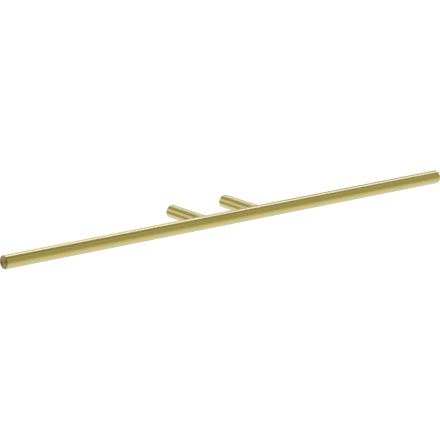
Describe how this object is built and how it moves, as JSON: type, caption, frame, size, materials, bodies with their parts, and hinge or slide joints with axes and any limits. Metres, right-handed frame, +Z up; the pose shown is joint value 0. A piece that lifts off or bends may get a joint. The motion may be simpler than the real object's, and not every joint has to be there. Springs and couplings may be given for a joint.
{
  "type": "towel bar",
  "caption": "Round wall-mounted towel bar: a long brushed-brass tube with flat capped ends, held off the wall by plain round posts set close together behind its middle.",
  "frame": {"origin": "on the wall, midway between the two posts' axes", "axes": "+X along the bar to the right as seen from the room, +Y into the wall, +Z up"},
  "size_m": [0.75, 0.085, 0.019],
  "materials": {
    "brushed_brass": "fine brushed satin brass",
    "raw_brass": "turned, unfinished brass",
    "fixing_steel": "plain turned steel"
  },
  "bodies": {
    "root": {"bar_tube": "brushed_brass", "end_cap_left": "brushed_brass", "end_cap_right": "brushed_brass", "thread_insert_left": "raw_brass", "thread_insert_right": "raw_brass", "post_left": "brushed_brass", "post_right": "brushed_brass", "joint_screw_left": "fixing_steel", "joint_screw_right": "fixing_steel", "spring_washer_left": "fixing_steel", "spring_washer_right": "fixing_steel", "wall_hub_left": "fixing_steel", "wall_hub_right": "fixing_steel", "grub_screw_left": "fixing_steel", "grub_screw_right": "fixing_steel"}
  },
  "joints": []
}
